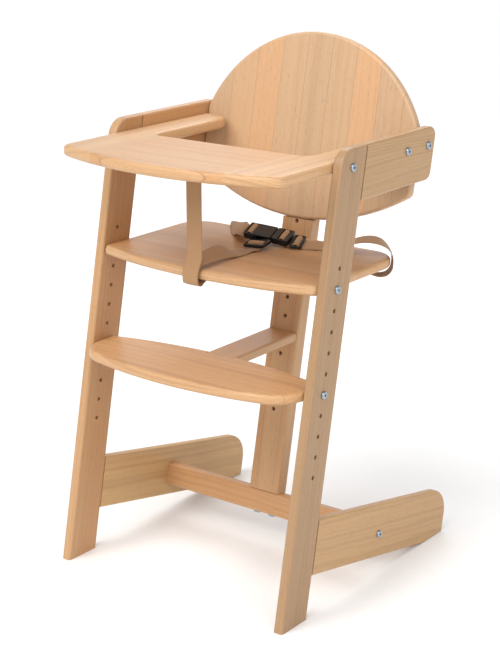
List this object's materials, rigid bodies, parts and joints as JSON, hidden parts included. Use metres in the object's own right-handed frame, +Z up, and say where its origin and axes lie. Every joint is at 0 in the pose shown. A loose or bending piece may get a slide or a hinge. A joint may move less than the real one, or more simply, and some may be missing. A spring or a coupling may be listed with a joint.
{
  "type": "wooden baby high chair",
  "caption": "Wooden high chair with leaning side frames, rows of height holes, a seat, footrest, fixed tray, solid backrest and a webbing lap harness.",
  "frame": {"origin": "on the floor, under the middle of the chair's bounding box", "axes": "+Z up, the front of the chair faces -Y, +X is the sitter's left"},
  "size_m": [0.4612, 0.5118, 0.8499],
  "materials": {
    "wood": "satin lacquer over light beech",
    "dowel_wood": "plain hidden dowels",
    "zinc_steel": "bright zinc plate",
    "insert_brass": "plain, hidden in the wood",
    "webbing": "woven tan webbing",
    "black_plastic": "moulded, glossy"
  },
  "bodies": {
    "chair": {"left_upright": "wood", "right_upright": "wood", "left_armrest": "wood", "right_armrest": "wood", "left_runner": "wood", "right_runner": "wood", "cross_beam": "wood", "rear_post": "wood", "backrest": "wood", "seat": "wood", "footrest": "wood", "footrest_strut": "wood", "tray_left_board": "wood", "tray_middle_board": "wood", "tray_right_board": "wood", "armrest_dowels": "dowel_wood", "runner_dowels": "dowel_wood", "strut_dowels": "dowel_wood", "backrest_screws": "zinc_steel", "strap_screws": "zinc_steel", "strap_washers": "zinc_steel", "tray_bolts": "zinc_steel", "backrest_bolts": "zinc_steel", "seat_side_bolts": "zinc_steel", "footrest_side_bolts": "zinc_steel", "runner_bolts": "zinc_steel", "post_foot_bolts": "zinc_steel", "seat_post_bolts": "zinc_steel", "strut_post_bolts": "zinc_steel", "tray_inserts": "insert_brass", "backrest_inserts": "insert_brass", "seat_side_inserts": "insert_brass", "footrest_side_inserts": "insert_brass", "runner_inserts": "insert_brass", "post_foot_inserts": "insert_brass", "seat_post_inserts": "insert_brass", "strut_post_inserts": "insert_brass", "crotch_strap": "webbing", "tray_strap": "webbing", "left_waist_strap": "webbing", "right_waist_strap": "webbing", "buckle_plug": "black_plastic", "crotch_adjuster": "black_plastic"},
    "socket": {"buckle_socket": "black_plastic", "socket_strap": "webbing"},
    "front_prong_body": {"front_prong": "black_plastic"},
    "rear_prong_body": {"rear_prong": "black_plastic"},
    "slider": {"strap_slider": "black_plastic"}
  },
  "joints": [
    {"name": "buckle_release", "type": "slide", "parent": "chair", "child": "socket", "axis": [-0.965, -0.2406, 0.1045], "range_m": [0, 0.02]},
    {"name": "front_prong_press", "type": "hinge", "parent": "chair", "child": "front_prong_body", "pos_m": [0.01884, 0.03532, 0.53335], "axis": [0.1606, -0.2267, 0.9606], "range_deg": [-5, 0], "stiffness_Nm_per_rad": 0.05},
    {"name": "rear_prong_press", "type": "hinge", "parent": "chair", "child": "rear_prong_body", "pos_m": [0.01311, 0.06137, 0.54045], "axis": [0.1606, -0.2267, 0.9606], "range_deg": [0, 5], "stiffness_Nm_per_rad": 0.05},
    {"name": "strap_slider", "type": "slide", "parent": "chair", "child": "slider", "axis": [0.9432, 0.3248, -0.0698], "range_m": [0, 0.006]}
  ],
  "couplings": [
    {"joint": "rear_prong_press", "follows": "front_prong_press", "ratio": -1}
  ]
}
